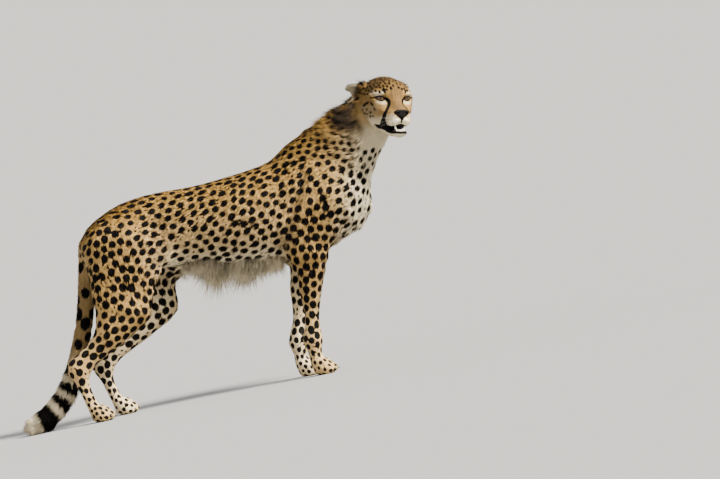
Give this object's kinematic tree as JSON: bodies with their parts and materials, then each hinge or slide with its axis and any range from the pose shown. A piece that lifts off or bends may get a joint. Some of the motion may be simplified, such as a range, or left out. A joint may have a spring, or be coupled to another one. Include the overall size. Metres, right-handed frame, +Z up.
{
  "type": "cheetah",
  "caption": "Life-size standing cheetah, slender and deep-chested, with a spotted tawny coat, its head turned to its right and its ringed tail laid back to the floor.",
  "frame": {"origin": "on the floor, below the middle of the whole animal", "axes": "+X towards the chest, +Y to the animal's left, +Z up"},
  "size_m": [1.4166, 0.2952, 0.8655],
  "materials": {
    "coat": "short tawny fur with black spots",
    "pale_coat": "pale fur",
    "nose_skin": "black, slightly moist",
    "eye": "glossy amber iris with a round black pupil",
    "tongue": "moist pink"
  },
  "bodies": {
    "root": {"torso": "coat", "neck": "coat", "head": "coat", "jaw": "pale_coat", "tongue": "tongue", "nose": "nose_skin", "ear_right": "coat", "ear_left": "coat", "eye_right": "eye", "eye_left": "eye", "tail_1": "coat", "tail_2": "coat", "tail_3": "pale_coat", "foreleg_upper_right": "coat", "foreleg_upper_left": "coat", "foreleg_lower_right": "coat", "foreleg_lower_left": "coat", "forepaw_right": "pale_coat", "forepaw_left": "pale_coat", "thigh_right": "coat", "thigh_left": "coat", "shank_right": "coat", "shank_left": "coat", "hindfoot_right": "coat", "hindfoot_left": "coat", "hindpaw_right": "pale_coat", "hindpaw_left": "pale_coat"}
  },
  "joints": []
}
